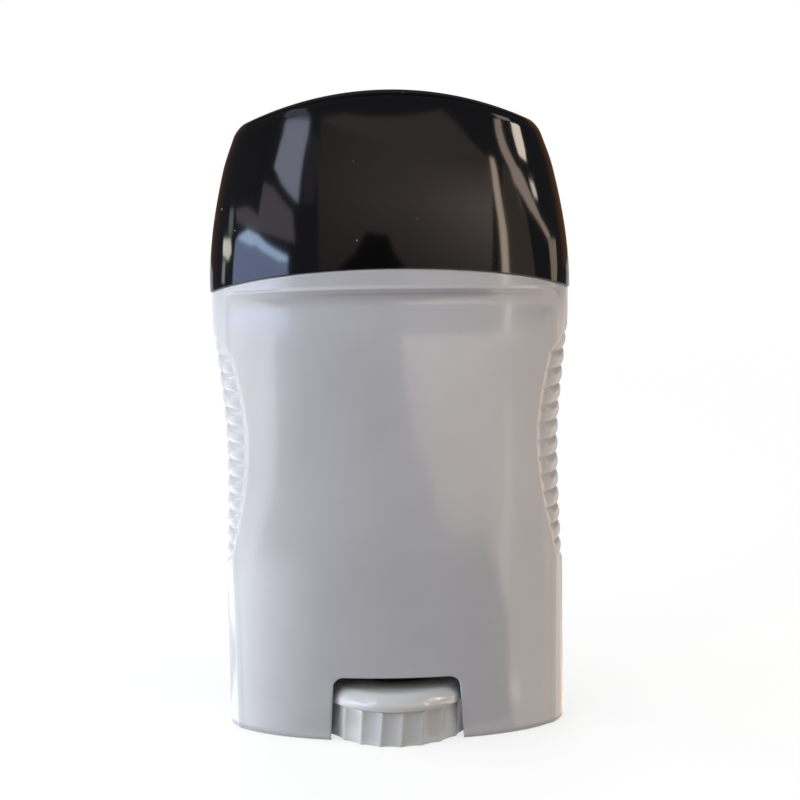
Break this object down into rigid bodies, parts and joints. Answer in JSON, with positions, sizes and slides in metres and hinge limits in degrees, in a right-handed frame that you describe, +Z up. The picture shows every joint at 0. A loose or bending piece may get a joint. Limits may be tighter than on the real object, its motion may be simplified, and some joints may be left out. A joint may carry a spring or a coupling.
{
  "type": "empty deodorant balm container",
  "caption": "Oval twist-up stick container, empty: waisted body with side grips, domed over-cap, screw-driven platform and fluted base knob.",
  "frame": {"origin": "centre of the base, on the surface that the container stands on", "axes": "+Z up along the spindle, +X to the right along the width, +Y to the back, the front face at -Y"},
  "size_m": [0.0625, 0.0292, 0.1135],
  "materials": {
    "body_grey": "silver-grey injection-moulded plastic, slightly pearly, glossy",
    "cap_black": "black injection-moulded plastic with a mirror gloss",
    "knob_grey": "light grey injection-moulded plastic, glossy",
    "natural_plastic": "uncoloured, slightly translucent moulded plastic, satin"
  },
  "bodies": {
    "barrel": {"body": "body_grey"},
    "cap": {"over_cap": "cap_black"},
    "dial": {"knob": "knob_grey", "spindle": "natural_plastic"},
    "carrier": {"platform": "natural_plastic"}
  },
  "joints": [
    {"name": "cap_lift", "type": "slide", "parent": "barrel", "child": "cap", "axis": [0, 0, 1], "range_m": [0, 0.05]},
    {"name": "dial_turn", "type": "hinge", "parent": "barrel", "child": "dial", "pos_m": [0, 0, 0.0175], "axis": [0, 0, 1], "range_deg": [0, 5400]},
    {"name": "platform_rise", "type": "slide", "parent": "barrel", "child": "carrier", "axis": [0, 0, 1], "range_m": [0, 0.06]}
  ],
  "couplings": [
    {"joint": "platform_rise", "follows": "dial_turn", "m_per_rad": 0.00063662}
  ]
}
